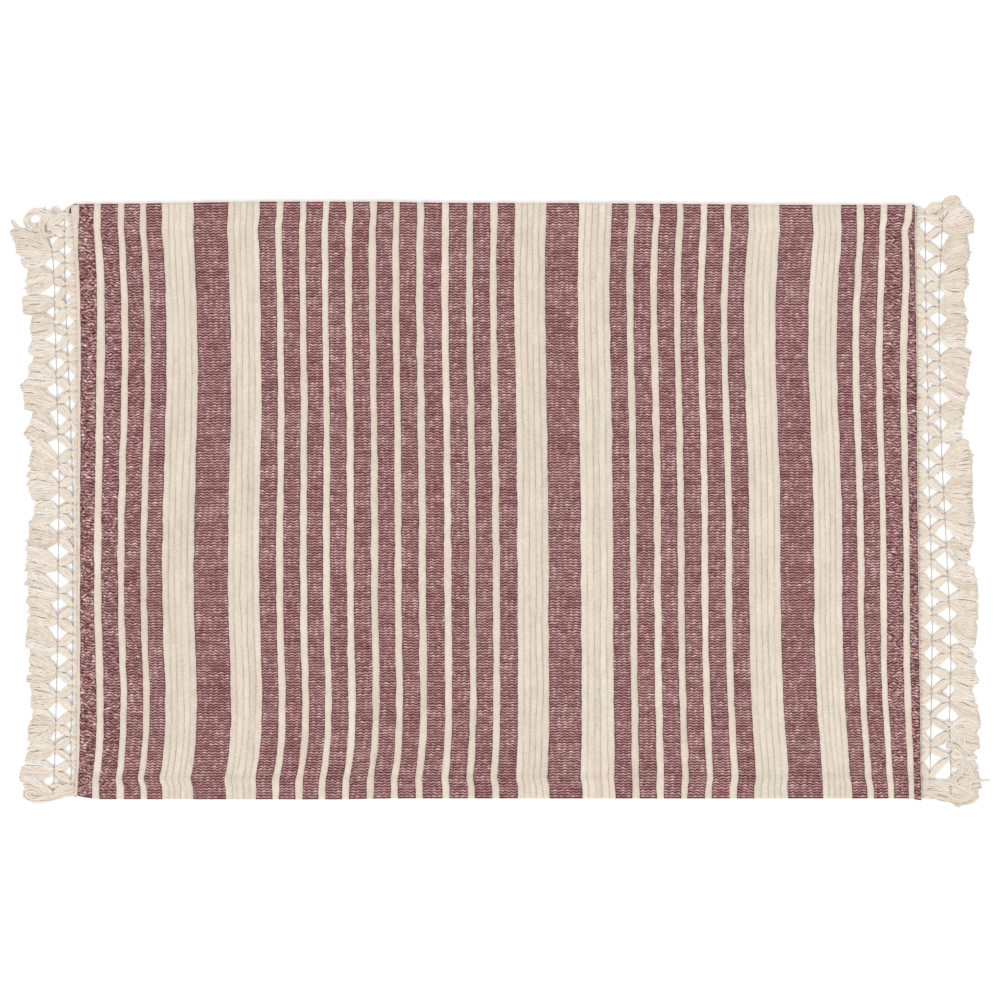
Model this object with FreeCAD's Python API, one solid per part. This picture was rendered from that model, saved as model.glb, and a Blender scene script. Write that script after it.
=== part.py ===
import FreeCAD, Part
import math
import os

# Striped, flat-woven cotton bath mat with turned hems and a two-row bound fringe.
# Millimetres. +X runs along the mat's length (across the stripes), +Y across its
# width, +Z up. The origin is the middle of the underside of the whole mat,
# fringe included, so the mat lies on the plane z = 0.

# ---------------------------------------------------------------- dimensions
HALF_WIDTH = 250.0          # half of the woven width, hem edge to centre
LEFT_END = -355.0           # woven cloth ends here on the left
RIGHT_END = 350.5           # and here on the right
FRINGE_TIP = 410.0          # longest tassel tip, both ends
FOLD_X = -1.0               # line the mat folds on when it is put away

CREAM_THICK = 3.8           # heavy cream ribs stand proud
BURGUNDY_THICK = 3.4        # finer mottled bands between them
WARP_LOW, WARP_HIGH = 1.4, 2.0   # warp layer inside the weft loops
WARP_HALF_WIDTH = 227.0

HEM_WIDTH = 18.0            # turned hem, edge to stitching
HEM_RISE = 1.6              # the face cloth lies this much higher over the turning
HEM_WALL = 1.8              # cloth round the folded edge
EDGE_ROUND = 1.4

STITCH_Y = HALF_WIDTH - HEM_WIDTH - 2.0
STITCH_WIDE, STITCH_HIGH = 1.2, 0.5

JOINT_GAP = 0.5             # between the two halves at the fold line
ROOT_GAP = 0.5              # between cloth end and fringe root

# Edges of the stripes along X, cloth end to cloth end.
# "b" starts a burgundy band, "c" starts a cream one.
STRIPES = [
    ("c", -355.0), ("b", -352.2), ("c", -338.7), ("b", -332.4), ("c", -318.6),
    ("b", -312.9), ("c", -299.5), ("b", -294.0), ("c", -281.1), ("b", -254.7),
    ("c", -226.6), ("b", -200.6), ("c", -186.7), ("b", -180.9), ("c", -167.2),
    ("b", -161.4), ("c", -148.0), ("b", -142.5), ("c", -128.6), ("b", -122.5),
    ("c", -108.4), ("b", -102.5), ("c", -88.6), ("b", -82.8), ("c", -68.6),
    ("b", -62.5), ("c", -47.4), ("b", -41.4), ("c", -26.7), ("b", -21.0),
    ("c", -6.9), ("b", -1.0), ("c", 13.8), ("b", 39.9), ("c", 67.0),
    ("b", 94.1), ("c", 108.1), ("b", 114.0), ("c", 128.3), ("b", 134.2),
    ("c", 148.2), ("b", 153.9), ("c", 168.1), ("b", 173.8), ("c", 188.1),
    ("b", 193.8), ("c", 207.9), ("b", 234.3), ("c", 262.1), ("b", 285.8),
    ("c", 298.6), ("b", 304.3), ("c", 317.7), ("b", 323.2), ("c", 337.1),
    ("b", 342.9), ("c", 349.0),
]

# Fringe: bundles of warp ends gathered at two rows of binder thread. The gathers of
# each row, back to front along Y; a tassel hangs from every gather of the outer row.
LEFT_INNER = [242.5, 221.5, 200.2, 180.5, 162.6, 140.4, 117.2, 92.6, 68.8, 43.5, 20.5,
    -1.8, -23.1, -44.5, -67.4, -88.7, -110.8, -132.7, -154.5, -176.3, -197.2, -217.3,
    -236.6]
LEFT_OUTER = [249.2, 230.7, 209.0, 187.2, 166.7, 147.4, 125.5, 103.3, 81.7, 56.5, 32.0,
    12.1, -9.2, -30.6, -54.0, -77.0, -98.4, -121.5, -142.8, -163.7, -187.2, -207.3, -225.7,
    -245.0]
RIGHT_INNER = [241.6, 218.2, 195.6, 175.5, 153.7, 130.2, 107.6, 87.5, 64.9, 43.1, 20.5,
    -4.6, -28.1, -48.2, -72.4, -95.1, -116.8, -139.4, -160.8, -182.2, -205.6, -232.4]
RIGHT_OUTER = [249.2, 230.7, 205.6, 183.8, 162.9, 140.3, 117.7, 97.6, 75.0, 54.0, 31.4,
    8.0, -14.7, -38.1, -62.4, -83.8, -105.1, -126.9, -147.8, -167.9, -192.2, -214.0,
    -244.1]
BUNDLE_HALF = 3.4           # half-bundle width where a binder thread holds it
BUNDLE_THICK = 2.8
TASSEL_THICK = 3.0
BINDER_WIDE, BINDER_HIGH = 1.2, 0.8
LEFT_ROWS = (-360.2, -372.2)     # inner and outer binder rows
RIGHT_ROWS = (359.8, 373.2)
# Cut lengths of the tassels, beyond the outer binder row, in the order they lie.
LEFT_TIPS = [24, 35, 37.8, 26, 28, 26, 24, 26, 29, 25, 28, 26, 21, 24, 27, 25, 25, 24,
             24, 24, 23, 24, 32, 24]
RIGHT_TIPS = [20, 25, 24, 22, 22, 21, 26, 24, 18, 25, 24, 25, 26, 22, 28, 29, 30, 28,
              30, 28, 32, 34, 36.8]

V = FreeCAD.Vector
os.makedirs("parts", exist_ok=True)


def prism_x(profile_yz, x0, x1):
    """A closed (y, z) outline drawn out from x0 to x1."""
    pts = [V(x0, y, z) for y, z in profile_yz]
    return Part.Face(Part.makePolygon(pts + [pts[0]])).extrude(V(x1 - x0, 0, 0))


def prism_z(outline_xy, z0, z1):
    """A closed (x, y) outline drawn up from z0 to z1."""
    pts = [V(x, y, z0) for x, y in outline_xy]
    solid = Part.Face(Part.makePolygon(pts + [pts[0]])).extrude(V(0, 0, z1 - z0))
    if solid.Volume < 0:
        solid.reverse()
    return solid


def box(x0, x1, y0, y1, z0, z1):
    return Part.makeBox(x1 - x0, y1 - y0, z1 - z0, V(x0, y0, z0))


def save(name, solids):
    shape = solids[0] if len(solids) == 1 else Part.makeCompound(solids)
    assert shape.isValid(), name
    shape.exportStep("parts/%s.step" % name)


def round_edge(cy, cz, r, a0, a1, sign):
    """Points of an arc in the (y, z) plane, for one side of the mat."""
    out = []
    for i in range(4):
        a = math.radians(a0 + (a1 - a0) * i / 3.0)
        out.append((sign * (cy + r * math.cos(a)), cz + r * math.sin(a)))
    return out


def side_outline(thick, sign):
    """One side's outline from the middle of the face, round the folded edge, to the underside."""
    e, r = HALF_WIDTH, EDGE_ROUND
    top = thick + HEM_RISE
    pocket = e - HEM_WALL
    face = [(sign * (e - HEM_WIDTH - 3.5), thick), (sign * (e - HEM_WIDTH + 1.0), top)]
    face += round_edge(e - r, top - r, r, 90, 0, sign)
    face += round_edge(e - r, r, r, 0, -90, sign)
    face += [(sign * pocket, 0.0), (sign * pocket, HEM_RISE)]
    face += [(sign * (e - HEM_WIDTH + 0.5), HEM_RISE), (sign * (e - HEM_WIDTH - 3.0), 0.0)]
    return face


def band(x0, x1, thick):
    """One weft band: a flattened loop round the warp, with a hook over each hem's turning."""
    outline = side_outline(thick, 1.0) + side_outline(thick, -1.0)[::-1]
    solid = prism_x(outline, x0, x1)
    slot = box(x0 - 1, x1 + 1, -WARP_HALF_WIDTH, WARP_HALF_WIDTH, WARP_LOW, WARP_HIGH)
    cut = solid.cut(slot)
    return cut.Solids[0]


# ------------------------------------------------------------------- stripes
edges = [x for _, x in STRIPES] + [RIGHT_END]
bands = {}
for i, (kind, x0) in enumerate(STRIPES):
    x1 = edges[i + 1]
    a = x0 + JOINT_GAP / 2 if abs(x0 - FOLD_X) < 1e-6 else x0
    b = x1 - JOINT_GAP / 2 if abs(x1 - FOLD_X) < 1e-6 else x1
    bands[i] = (kind, band(a, b, CREAM_THICK if kind == "c" else BURGUNDY_THICK))


def group(name, kind, first, last):
    """Every band of one colour between two places in the stripe order."""
    found = [bands[i][1] for i in range(first, last + 1) if bands[i][0] == kind]
    save(name, found)


group("left_end_picks", "c", 0, 0)
group("burgundy_bands_left_end", "b", 1, 7)
group("cream_ribs_left_end", "c", 2, 7)
group("wide_cream_band_1", "c", 8, 8)
group("wide_burgundy_band_1", "b", 9, 9)
group("wide_cream_band_2", "c", 10, 10)
group("burgundy_bands_left_field", "b", 11, 30)
group("cream_ribs_left_field", "c", 11, 30)
group("burgundy_band_centre", "b", 31, 31)
group("wide_cream_band_3", "c", 32, 32)
group("wide_burgundy_band_2", "b", 33, 33)
group("wide_cream_band_4", "c", 34, 34)
group("burgundy_bands_right_field", "b", 35, 45)
group("cream_ribs_right_field", "c", 35, 45)
group("wide_cream_band_5", "c", 46, 46)
group("wide_burgundy_band_3", "b", 47, 47)
group("wide_cream_band_6", "c", 48, 48)
group("burgundy_bands_right_end", "b", 49, 55)
group("cream_ribs_right_end", "c", 49, 55)
group("right_end_picks", "c", 56, 56)

# ------------------------------------------- warp, hem turnings and stitching
halves = {
    "left": (LEFT_END, FOLD_X - JOINT_GAP / 2),
    "right": (FOLD_X + JOINT_GAP / 2, RIGHT_END),
}
for side, (x0, x1) in halves.items():
    save("warp_" + side, [box(x0, x1, -WARP_HALF_WIDTH, WARP_HALF_WIDTH, WARP_LOW, WARP_HIGH)])
    for place, sign in (("back", 1.0), ("front", -1.0)):
        ya = sign * (HALF_WIDTH - HEM_WALL)
        yb = sign * (HALF_WIDTH - HEM_WIDTH + 0.5)
        save("%s_hem_turning_%s" % (place, side),
             [box(x0, x1, min(ya, yb), max(ya, yb), 0.0, HEM_RISE)])
        # The seam thread: a line of stitches laid on the face beside the hem.
        yc = sign * (STITCH_Y - 3.0)
        save("%s_hem_stitching_%s" % (place, side),
             [box(x0 + 1.0, x1 - 1.0, yc - STITCH_WIDE / 2, yc + STITCH_WIDE / 2,
                  CREAM_THICK, CREAM_THICK + STITCH_HIGH)])


# -------------------------------------------------------------------- fringe
def clip(poly):
    """Keeps an outline inside the woven width, without doubled points."""
    w = HALF_WIDTH
    out = []
    for x, y in poly:
        p = (x, max(-w, min(w, y)))
        if not out or math.hypot(p[0] - out[-1][0], p[1] - out[-1][1]) > 1e-6:
            out.append(p)
    if math.hypot(out[0][0] - out[-1][0], out[0][1] - out[-1][1]) < 1e-6:
        out.pop()
    return out


def fringe(side, end, rows, inner_y, outer_y, tips, outward):
    """One end's fringe: pairs of half-bundles, two binder threads and the tassels.

    inner_y and outer_y run from the back (+Y) to the front. Gather j of the inner row
    sends one half-bundle to gather j of the outer row and one to gather j + 1.
    """
    root = end + outward * ROOT_GAP
    inner, outer = rows
    roots = [HALF_WIDTH - 1.0]
    roots += [(a + b) / 2.0 for a, b in zip(inner_y[:-1], inner_y[1:])]
    roots += [-HALF_WIDTH + 1.0]
    bundles = []
    for j, y in enumerate(inner_y):
        for up, target, edge in ((1.0, outer_y[j], roots[j]), (-1.0, outer_y[j + 1], roots[j + 1])):
            outline = [
                (root, y + up * 0.7),
                (root, edge - up * 0.4),
                (inner, y + up * BUNDLE_HALF),
                (outer, target),
                (outer, target - up * BUNDLE_HALF),
                (inner, y),
            ]
            bundles.append(prism_z(clip(outline), 0.0, BUNDLE_THICK))
    save(side + "_fringe_bundles", bundles)
    for label, x in (("inner", inner), ("outer", outer)):
        reach = HALF_WIDTH - 3.0
        save("%s_%s_binder_thread" % (side, label),
             [box(x - BINDER_WIDE / 2, x + BINDER_WIDE / 2, -reach, reach,
                  TASSEL_THICK, TASSEL_THICK + BINDER_HIGH)])
    tassels = []
    last = len(outer_y) - 1
    for k, y in enumerate(outer_y):
        high = BUNDLE_HALF if k > 0 else 0.0
        low = -BUNDLE_HALF if k < last else 0.0
        wide_high = (outer_y[k - 1] - y) / 2.0 - 0.4 if k > 0 else HALF_WIDTH - y
        wide_low = (outer_y[k + 1] - y) / 2.0 + 0.4 if k < last else -HALF_WIDTH - y
        tip = outer + outward * tips[k]
        mid = outer + outward * tips[k] * 0.42
        outline = [
            (outer, y + low),
            (mid, y + wide_low),
            (tip - outward * 3.0, y + wide_low * 0.9),
            (tip, y + wide_low * 0.45),
            (tip, y + wide_high * 0.45),
            (tip - outward * 3.0, y + wide_high * 0.9),
            (mid, y + wide_high),
            (outer, y + high),
        ]
        tassels.append(prism_z(clip(outline), 0.0, TASSEL_THICK))
    save(side + "_tassels", tassels)


fringe("left", LEFT_END, LEFT_ROWS, LEFT_INNER, LEFT_OUTER, LEFT_TIPS, -1.0)
fringe("right", RIGHT_END, RIGHT_ROWS, RIGHT_INNER, RIGHT_OUTER, RIGHT_TIPS, 1.0)
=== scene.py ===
import math
import bpy
import numpy as np
from numpy.polynomial import legendre as leg
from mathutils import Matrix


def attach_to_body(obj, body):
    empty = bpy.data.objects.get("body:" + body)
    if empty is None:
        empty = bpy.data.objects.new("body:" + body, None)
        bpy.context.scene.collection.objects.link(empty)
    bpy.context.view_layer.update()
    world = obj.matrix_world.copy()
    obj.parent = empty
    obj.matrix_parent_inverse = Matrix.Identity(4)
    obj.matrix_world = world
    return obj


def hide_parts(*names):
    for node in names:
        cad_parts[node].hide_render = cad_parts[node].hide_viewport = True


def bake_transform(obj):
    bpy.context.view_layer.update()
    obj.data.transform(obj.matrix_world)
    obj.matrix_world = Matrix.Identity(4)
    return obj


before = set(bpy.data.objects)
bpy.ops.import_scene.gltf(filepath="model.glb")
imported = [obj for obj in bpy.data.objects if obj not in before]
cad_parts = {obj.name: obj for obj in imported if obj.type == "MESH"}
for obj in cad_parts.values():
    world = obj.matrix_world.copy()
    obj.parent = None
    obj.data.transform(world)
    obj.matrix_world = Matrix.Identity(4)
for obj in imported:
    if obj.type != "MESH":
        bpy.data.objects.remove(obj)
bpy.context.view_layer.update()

# Striped flat-woven bath mat with turned hems and a bound, two-row fringe.
# All the geometry below is worked out in millimetres and written in metres.
MM = 0.001
HALF = 250.0
LEFT_END, RIGHT_END, FOLD = -355.0, 350.5, -1.0
Z_CREAM, Z_BURG = 3.75, 3.4
HEM_RISE = 1.6
SEAM = 230.0

rng = np.random.default_rng(20)


# ------------------------------------------------------------------ helpers
def smooth(a):
    a = np.clip(a, 0.0, 1.0)
    return a * a * (3 - 2 * a)


_lattice = np.random.default_rng(7).random((64, 512, 512)).astype(np.float32)


def noise(x, y, seed=0):
    """Smooth value noise in 0..1, one unit per cell."""
    x, y = np.broadcast_arrays(np.asarray(x, float), np.asarray(y, float))
    xi, yi = np.floor(x), np.floor(y)
    fx, fy = x - xi, y - yi
    fx, fy = fx * fx * (3 - 2 * fx), fy * fy * (3 - 2 * fy)
    xi, yi = xi.astype(int) & 511, yi.astype(int) & 511
    x2, y2 = (xi + 1) & 511, (yi + 1) & 511
    L = _lattice[seed % 64]
    return ((L[xi, yi] * (1 - fx) + L[x2, yi] * fx) * (1 - fy)
            + (L[xi, y2] * (1 - fx) + L[x2, y2] * fx) * fy)


def cell(x, y, seed=0):
    """One random number in 0..1 for each whole-number cell."""
    x, y = np.broadcast_arrays(np.asarray(x), np.asarray(y))
    return _lattice[seed % 64][x.astype(int) & 511, y.astype(int) & 511]


def make(name, verts, quads=None, tris=None, mats=(), attrs=None, flat=None, mat_index=None):
    """A mesh object from arrays: vertices in mm, quads first and triangles after."""
    quads = np.zeros((0, 4), np.int32) if quads is None else np.asarray(quads, np.int32)
    tris = np.zeros((0, 3), np.int32) if tris is None else np.asarray(tris, np.int32)
    me = bpy.data.meshes.new(name)
    me.vertices.add(len(verts))
    me.vertices.foreach_set("co", (np.asarray(verts, float) * MM).astype(np.float32).ravel())
    loops = np.concatenate([quads.ravel(), tris.ravel()]).astype(np.int32)
    me.loops.add(len(loops))
    me.loops.foreach_set("vertex_index", loops)
    nq, nt = len(quads), len(tris)
    starts = np.concatenate([np.arange(nq) * 4, nq * 4 + np.arange(nt) * 3]).astype(np.int32)
    me.polygons.add(nq + nt)
    me.polygons.foreach_set("loop_start", starts)
    me.update(calc_edges=True)
    smooth_flags = np.ones(nq + nt, bool)
    if flat is not None:
        smooth_flags[flat] = False
    me.polygons.foreach_set("use_smooth", smooth_flags)
    for key, value in (attrs or {}).items():
        a = me.attributes.new(key, "FLOAT", "POINT")
        a.data.foreach_set("value", np.asarray(value, np.float32))
    for m in mats:
        me.materials.append(m)
    if mat_index is not None:
        me.polygons.foreach_set("material_index", np.asarray(mat_index, np.int32))
    me.update()
    ob = bpy.data.objects.new(name, me)
    bpy.context.scene.collection.objects.link(ob)
    return ob


# -------------------------------------------------- where each thread really lies
# The weft was beaten in by hand, so the stripes wander. Sideways shift in mm of the
# point (s, t) of an ideal mat, as a two-way Legendre series.
SWAY = np.array([
    [-0.07, -1.49, -0.13, 0.68, -0.55, 1.1, -0.79],
    [0.52, -2.82, 2.7, 0.39, 3.62, -1.5, -0.13],
    [0.06, 0.15, 1.38, -1.52, -0.93, -0.78, -0.55],
    [-0.29, 0.93, -1.4, 0.38, -1.86, 0.19, -0.62],
    [-0.2, 0.74, -1.27, 0.09, -0.87, -1.61, -0.01],
    [-0.19, 1.28, -1.2, -1.64, -1.3, -0.06, 0.9]])
HEM_TOP = [0.69, -0.4, 0.89, 1.17, 2.06, 1.21, 2.2, -0.54]
HEM_LOW = [0.76, -1.09, 0.0, 0.29, 0.05, 0.87, -4.01, -1.47]
TOP_S = [-358, -350, -300, -200, -105, -40, 60, 160, 250, 335, 341, 349]
TOP_D = [-2.5, -0.8, -0.3, 1.2, 1.1, 0.2, 0.0, -0.8, -1.5, -1.5, -0.8, -3.0]
LOW_S = [-357, -350, -340, -331, -134, -90, 335, 351]
LOW_D = [5.5, 3.0, 1.4, 0.6, 0.4, 1.2, 1.2, -0.5]
# Where the two cloth ends really lie across the mat.
LEFT_T = [-250, -243, -225, -167, -117, 18, 127, 170, 202, 227, 240, 250]
LEFT_X = [-356.4, -355.8, -354.8, -354.3, -353.8, -353.8, -353.8, -354.5, -355.9, -357.6, -358.7, -359.3]
RIGHT_T = [-250, -170, -117, 10, 134, 192, 227, 250]
RIGHT_X = [353.0, 352.4, 351.5, 350.1, 349.6, 348.5, 347.8, 348.3]


def lift(x, y):
    """The mat lies nearly flat; it only eases off the floor away from the fold line."""
    room = np.clip((np.abs(x - FOLD) - 16) / 60.0, 0, 1)
    near = smooth((np.abs(x) - 270) / 30.0) * smooth((np.abs(y) - 200) / 22.0)
    wave = 0.9 * noise(x / 95.0 + 9, y / 85.0 + 4, 3) ** 2 * (1 - 0.8 * near)
    curl = 0.5 * smooth((-x - 325) / 34.0) * smooth((-y - 205) / 45.0)
    curl = curl + 0.4 * smooth((x - 325) / 30.0) * smooth((y - 215) / 35.0)
    return room * (wave + curl)


def shift(s, t):
    tc = np.clip(t, -234.0, 229.0)
    vs = leg.legvander(s / 360.0, 5)
    vt = leg.legvander(tc / 250.0, 6)
    dx = np.einsum("...i,ij,...j->...", vs, SWAY, vt)
    up = smooth((t - 226.5) / 13.0) * smooth((s + 345.0) / 45.0)
    dn = smooth((-t - 230.5) / 11.0) * smooth((s + 345.0) / 45.0) * smooth((345.0 - s) / 45.0)
    return dx + up * leg.legval(s / 360.0, HEM_TOP) + dn * leg.legval(s / 360.0, HEM_LOW)


def place(s, t, z, ease=True):
    """Ideal mat (s, t) to the real place in x, y and z."""
    s, t, z = np.broadcast_arrays(s, t, z)
    dx = shift(s, t)
    t1 = t.ravel()[np.unique(t.ravel(), return_index=True)[1]]        # the cloth ends, once for each t
    to_l = np.interp(t1, LEFT_T, LEFT_X) - (LEFT_END + shift(np.full_like(t1, LEFT_END), t1))
    want = np.maximum(np.interp(t1, RIGHT_T, RIGHT_X), 342.9 + shift(np.full_like(t1, 342.9), t1) + 1.5)
    to_r = want - (RIGHT_END + shift(np.full_like(t1, RIGHT_END), t1))
    dx = dx + np.interp(t, t1, to_l) * smooth((-345.0 - s) / 10.0) + np.interp(t, t1, to_r) * smooth((s - 342.9) / 7.6)
    y = (t + 0.5 * (1 + t / HALF) * np.interp(s, TOP_S, TOP_D)
         + 0.5 * (1 - t / HALF) * np.interp(s, LOW_S, LOW_D))
    x = s + dx
    return np.stack([x, y, z + (lift(x, y) if ease else 0.0)], -1)


# ------------------------------------------------------------------ materials
def srgb(r, g, b):
    def f(c):
        c /= 255.0
        return c / 12.92 if c <= 0.04045 else ((c + 0.055) / 1.055) ** 2.4
    return f(r), f(g), f(b)


LIGHT = 1.33      # how brightly a level white surface is lit


def tint(r, g, b):
    return tuple(c / LIGHT for c in srgb(r, g, b)) + (1.0,)


class Nodes:
    def __init__(self, name, rough, sheen=0.25, specular=0.25):
        self.mat = bpy.data.materials.new(name)
        self.mat.use_nodes = True
        self.t = self.mat.node_tree
        self.bsdf = self.t.nodes["Principled BSDF"]
        self.bsdf.inputs["Roughness"].default_value = rough
        self.bsdf.inputs["Sheen Weight"].default_value = sheen
        self.bsdf.inputs["Sheen Roughness"].default_value = 0.5
        self.bsdf.inputs["Specular IOR Level"].default_value = specular

    def new(self, kind, **values):
        n = self.t.nodes.new(kind)
        for k, v in values.items():
            setattr(n, k, v)
        return n

    def link(self, a, b):
        self.t.links.new(a, b)

    def attr(self, name):
        n = self.new("ShaderNodeAttribute", attribute_name=name)
        n.attribute_type = "GEOMETRY"
        return n.outputs["Fac"]

    def coords(self, scale):
        g = self.new("ShaderNodeTexCoord")
        m = self.new("ShaderNodeMapping")
        m.inputs["Scale"].default_value = scale
        self.link(g.outputs["Object"], m.inputs["Vector"])
        return m.outputs["Vector"]

    def noise(self, vector, scale, detail=3.0, rough=0.6, distortion=0.0):
        n = self.new("ShaderNodeTexNoise")
        n.inputs["Scale"].default_value = scale
        n.inputs["Detail"].default_value = detail
        n.inputs["Roughness"].default_value = rough
        n.inputs["Distortion"].default_value = distortion
        self.link(vector, n.inputs["Vector"])
        return n.outputs["Fac"]

    def math(self, op, a, b, clamp=False):
        n = self.new("ShaderNodeMath", operation=op, use_clamp=clamp)
        for socket, v in zip(n.inputs, (a, b)):
            if isinstance(v, (int, float)):
                socket.default_value = v
            else:
                self.link(v, socket)
        return n.outputs[0]

    def ramp(self, fac, stops, ease="LINEAR"):
        n = self.new("ShaderNodeValToRGB")
        n.color_ramp.interpolation = ease
        e = n.color_ramp.elements
        while len(e) < len(stops):
            e.new(0.5)
        for el, (pos, col) in zip(e, stops):
            el.position = pos
            el.color = col
        self.link(fac, n.inputs["Fac"])
        return n.outputs["Color"]

    def mix(self, fac, a, b, blend="MIX"):
        n = self.new("ShaderNodeMix", data_type="RGBA", blend_type=blend)
        for socket, v in ((n.inputs[0], fac), (n.inputs[6], a), (n.inputs[7], b)):
            if isinstance(v, (int, float)):
                socket.default_value = v
            elif isinstance(v, tuple):
                socket.default_value = v
            else:
                self.link(v, socket)
        return n.outputs[2]

    def bump(self, height, distance, strength=1.0, normal=None):
        n = self.new("ShaderNodeBump")
        n.inputs["Strength"].default_value = strength
        n.inputs["Distance"].default_value = distance
        self.link(height, n.inputs["Height"])
        if normal is not None:
            self.link(normal, n.inputs["Normal"])
        return n.outputs["Normal"]

    def finish(self, color, normal, rough_fac=None, lo=0.8, hi=0.95):
        self.link(color, self.bsdf.inputs["Base Color"])
        self.link(normal, self.bsdf.inputs["Normal"])
        if rough_fac is not None:
            m = self.new("ShaderNodeMapRange")
            m.inputs["To Min"].default_value = lo
            m.inputs["To Max"].default_value = hi
            self.link(rough_fac, m.inputs["Value"])
            self.link(m.outputs["Result"], self.bsdf.inputs["Roughness"])
        return self.mat


def burgundy_material():
    m = Nodes("burgundy_melange_cotton", 0.9, 0.03, 0.08)
    along = m.coords((1.0, 1.6, 1.0))
    fine = m.noise(along, 1500, 3, 0.65, 0.4)
    flecks = m.noise(m.coords((0.55, 1.0, 1.0)), 620, 2, 0.6)
    tone = m.math("ADD", m.attr("tone"), m.math("MULTIPLY", m.math("SUBTRACT", fine, 0.5), 0.34))
    tone = m.math("ADD", tone, m.math("MULTIPLY", m.math("SUBTRACT", flecks, 0.5), 0.22), clamp=True)
    # tone ramp from dark furrows (partly painted shade) to pale crests; the palest stops are reached by the painted
    # highlights
    col = m.ramp(tone, [
        (0.0, tint(86, 46, 48)), (0.2, tint(106, 65, 67)), (0.42, tint(149, 107, 107)),
        (0.62, tint(192, 153, 151)), (0.82, tint(224, 190, 186)), (1.0, tint(250, 232, 226))])
    red = m.mix(m.math("MULTIPLY", m.attr("hue"), 0.5), col, (0.86, 0.62, 0.66, 1.0), "MULTIPLY")
    height = m.math("ADD", m.math("MULTIPLY", fine, 0.7), m.math("MULTIPLY", flecks, 0.5))
    return m.finish(red, m.bump(height, 0.00022, 0.7), fine, 0.82, 0.97)


def cream_material(name="cream_cotton_rib"):
    m = Nodes(name, 0.88, 0.10, 0.12)
    strand = m.noise(m.coords((2.6, 0.32, 1.0)), 900, 3, 0.6, 0.2)       # fibres along the rib
    fine = m.noise(m.coords((1.0, 1.0, 1.0)), 2100, 2, 0.6)
    soft = m.noise(m.coords((1.0, 0.35, 1.0)), 60, 2, 0.5)
    pick = m.noise(m.coords((0.55, 1.0, 1.0)), 720, 1, 0.5)               # the small stitches across each rib
    groove = m.attr("groove")
    v = m.math("ADD", m.attr("vary"), m.math("MULTIPLY", m.math("SUBTRACT", strand, 0.5), 0.4))
    v = m.math("ADD", v, m.math("MULTIPLY", m.math("SUBTRACT", pick, 0.5), 0.9))
    v = m.math("ADD", v, m.math("MULTIPLY", m.math("SUBTRACT", soft, 0.5), 0.5), clamp=True)
    col = m.ramp(v, [
        (0.0, tint(212, 199, 183)), (0.35, tint(227, 214, 199)), (0.62, tint(236, 223, 208)),
        (1.0, tint(247, 236, 223))])
    # painted shade: the grooves between the ribs darkened towards tint(163, 151, 136)
    col = m.mix(m.math("MULTIPLY", m.math("ADD", groove, m.math("MULTIPLY", m.math("SUBTRACT", fine, 0.5), 0.4)), 0.95, clamp=True),
                col, tint(163, 151, 136))
    rosy = m.math("MULTIPLY", m.math("SUBTRACT", m.attr("hue"), 0.5), 1.5, clamp=True)
    pink = m.mix(rosy, col, (1.0, 0.92, 0.92, 1.0), "MULTIPLY")
    cool = m.math("MULTIPLY", m.math("SUBTRACT", 0.5, m.attr("hue")), 1.5, clamp=True)
    pink = m.mix(cool, pink, (0.935, 0.985, 0.95, 1.0), "MULTIPLY")
    height = m.math("ADD", m.math("MULTIPLY", strand, 0.8), m.math("MULTIPLY", fine, 0.35))
    height = m.math("ADD", height, m.math("MULTIPLY", pick, 0.8))
    return m.finish(pink, m.bump(height, 0.00028, 0.7), strand, 0.8, 0.95)


def yarn_material(name, base, dark, light, scale=1900, blush=False):
    m = Nodes(name, 0.9, 0.15, 0.15)
    fine = m.noise(m.coords((1.0, 1.0, 1.0)), scale, 3, 0.65)
    v = m.math("ADD", m.attr("vary"), m.math("MULTIPLY", m.math("SUBTRACT", fine, 0.5), 0.55), clamp=True)
    col = m.ramp(v, [(0.0, tint(*dark)), (0.5, tint(*base)), (1.0, tint(*light))])
    if blush:
        slow = m.noise(m.coords((1.0, 1.0, 1.0)), 75, 2, 0.55)
        warm = m.math("MULTIPLY", m.math("SUBTRACT", slow, 0.50), 3.2, clamp=True)
        cool = m.math("MULTIPLY", m.math("SUBTRACT", 0.47, slow), 3.2, clamp=True)
        col = m.mix(warm, col, (0.985, 0.92, 0.90, 1.0), "MULTIPLY")
        col = m.mix(cool, col, (0.96, 0.985, 0.955, 1.0), "MULTIPLY")
        patch = m.noise(m.coords((1.0, 0.7, 1.0)), 150, 2, 0.6)
        ochre = m.math("MULTIPLY", m.math("SUBTRACT", patch, 0.62), 5.0, clamp=True)
        col = m.mix(ochre, col, (0.93, 0.85, 0.76, 1.0), "MULTIPLY")
    # painted shade: strands darkened towards tint(166, 146, 122) near the cloth end, at the gathers, in the tucks and
    # where they lie under others
    col = m.mix(m.attr("groove"), col, tint(166, 146, 122))
    return m.finish(col, m.bump(fine, 0.00018, 0.6), fine, 0.82, 0.96)


MAT_B = burgundy_material()
MAT_C = cream_material()
MAT_F = yarn_material("fringe_cotton_yarn", (247, 234, 219), (230, 215, 197), (255, 250, 242), blush=True)
MAT_T = yarn_material("binder_thread_cotton", (206, 198, 194), (178, 168, 163), (226, 221, 218))
MAT_W = yarn_material("warp_cotton_yarn", (224, 211, 195), (200, 186, 168), (240, 230, 218))
MAT_S = yarn_material("hem_stitch_thread", (198, 172, 163), (172, 142, 136), (216, 194, 185))

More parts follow.
